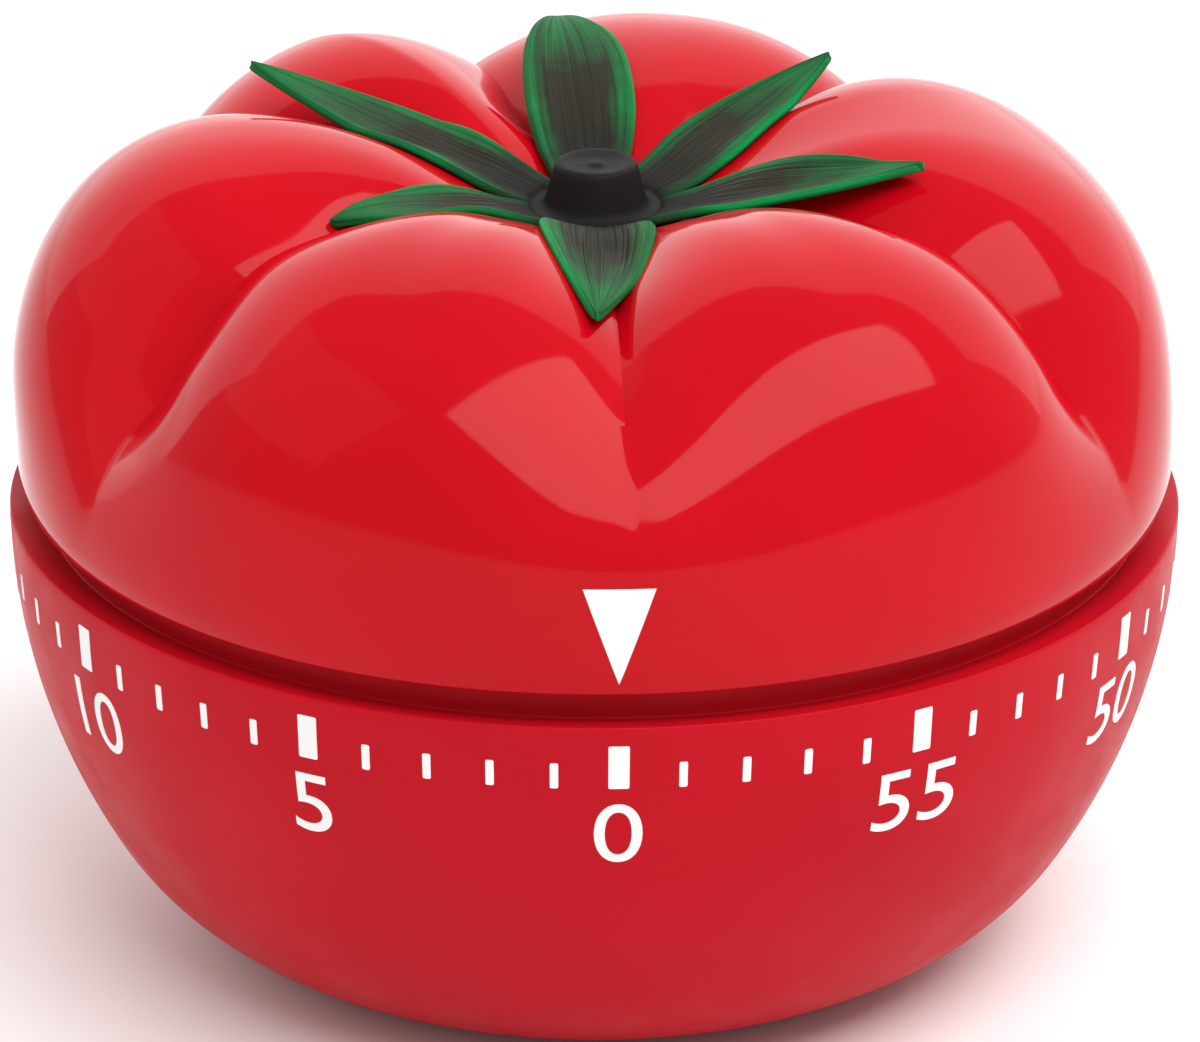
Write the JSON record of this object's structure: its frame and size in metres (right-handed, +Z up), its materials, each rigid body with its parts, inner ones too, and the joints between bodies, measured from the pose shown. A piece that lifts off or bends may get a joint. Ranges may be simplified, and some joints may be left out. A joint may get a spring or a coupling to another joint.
{
  "type": "kitchen timer",
  "caption": "Wind-up kitchen timer in a tomato-shaped case: a glossy dome with leaf calyx turns on a bowl with a minute scale to set the time.",
  "frame": {"origin": "centre of the flat base, on the axis that the dome turns about", "axes": "+Z up along the winding axis, -Y towards the front, where zero on the scale is"},
  "size_m": [0.0702, 0.0702, 0.0521],
  "materials": {
    "dome": "glossy moulded red",
    "bowl": "satin moulded red",
    "calyx": "soft moulded leaf green, darker at the stem",
    "brass": "stamped and turned",
    "steel": "turned or stamped, plain",
    "spring_steel": "blued spring strip",
    "bell_steel": "nickel plated",
    "white_plastic": "moulded, matte"
  },
  "bodies": {
    "case": {"bottom_shell": "bowl", "base_cover": "bowl", "hairspring": "spring_steel", "bell": "bell_steel", "bell_post": "steel", "bell_screw": "steel", "bottom_plate": "brass", "top_plate": "brass", "stop_post": "steel", "pillar_1": "steel", "plate_screw_1": "steel", "case_screw_1": "steel", "pillar_2": "steel", "plate_screw_2": "steel", "case_screw_2": "steel", "pillar_3": "steel", "plate_screw_3": "steel", "case_screw_3": "steel"},
    "dial": {"top_shell": "dome", "calyx": "calyx", "dome_screw": "steel", "winding_arbor": "steel", "main_wheel": "brass", "ratchet_wheel": "steel", "click_plate": "spring_steel", "stop_cam": "white_plastic"},
    "second_wheel": {"second_wheel": "brass"},
    "third_wheel": {"third_wheel": "brass"},
    "escape_wheel": {"escape_wheel": "brass"},
    "pallet_lever": {"pallet_lever": "steel"},
    "balance": {"balance_wheel": "brass"},
    "spring_barrel": {"spring_barrel": "brass", "mainspring": "spring_steel"},
    "strike_wheel": {"strike_wheel": "steel"},
    "hammer": {"hammer": "steel"},
    "detent_lever": {"detent_lever": "steel"}
  },
  "joints": [
    {"name": "dial_turn", "type": "hinge", "parent": "case", "child": "dial", "pos_m": [0, 0, 0], "axis": [0, 0, 1], "range_deg": [-348, 0]},
    {"name": "second_wheel_turn", "type": "hinge", "parent": "case", "child": "second_wheel", "pos_m": [0.01364, -0.00788, 0], "axis": [0, 0, 1], "continuous": true},
    {"name": "third_wheel_turn", "type": "hinge", "parent": "case", "child": "third_wheel", "pos_m": [0.01675, 0.00288, 0], "axis": [0, 0, 1], "continuous": true},
    {"name": "escape_wheel_turn", "type": "hinge", "parent": "case", "child": "escape_wheel", "pos_m": [0.01229, 0.01315, 0], "axis": [0, 0, 1], "continuous": true},
    {"name": "balance_swing", "type": "hinge", "parent": "case", "child": "balance", "pos_m": [-0.00223, 0.01816, 0], "axis": [0, 0, 1], "range_deg": [-100, 100], "stiffness_Nm_per_rad": 0.000006},
    {"name": "pallet_swing", "type": "hinge", "parent": "case", "child": "pallet_lever", "pos_m": [0.0067, 0.01725, 0], "axis": [0, 0, 1], "range_deg": [-6, 6]},
    {"name": "barrel_turn", "type": "hinge", "parent": "case", "child": "spring_barrel", "pos_m": [0, 0, 0], "axis": [0, 0, 1], "range_deg": [0, 1080]},
    {"name": "strike_wheel_turn", "type": "hinge", "parent": "case", "child": "strike_wheel", "pos_m": [-0.01364, -0.00788, 0], "axis": [0, 0, 1], "continuous": true},
    {"name": "hammer_swing", "type": "hinge", "parent": "case", "child": "hammer", "pos_m": [-0.01767, -0.00342, 0], "axis": [0, 0, 1], "range_deg": [-6, 6]},
    {"name": "detent_drop", "type": "hinge", "parent": "case", "child": "detent_lever", "pos_m": [-0.01609, 0.0135, 0], "axis": [0, 0, 1], "range_deg": [-6, 0]}
  ],
  "couplings": [
    {"joint": "second_wheel_turn", "follows": "dial_turn", "ratio": -6},
    {"joint": "third_wheel_turn", "follows": "dial_turn", "ratio": 36},
    {"joint": "escape_wheel_turn", "follows": "dial_turn", "ratio": -216},
    {"joint": "pallet_swing", "follows": "balance_swing", "ratio": 0.06},
    {"joint": "strike_wheel_turn", "follows": "barrel_turn", "ratio": -6}
  ]
}
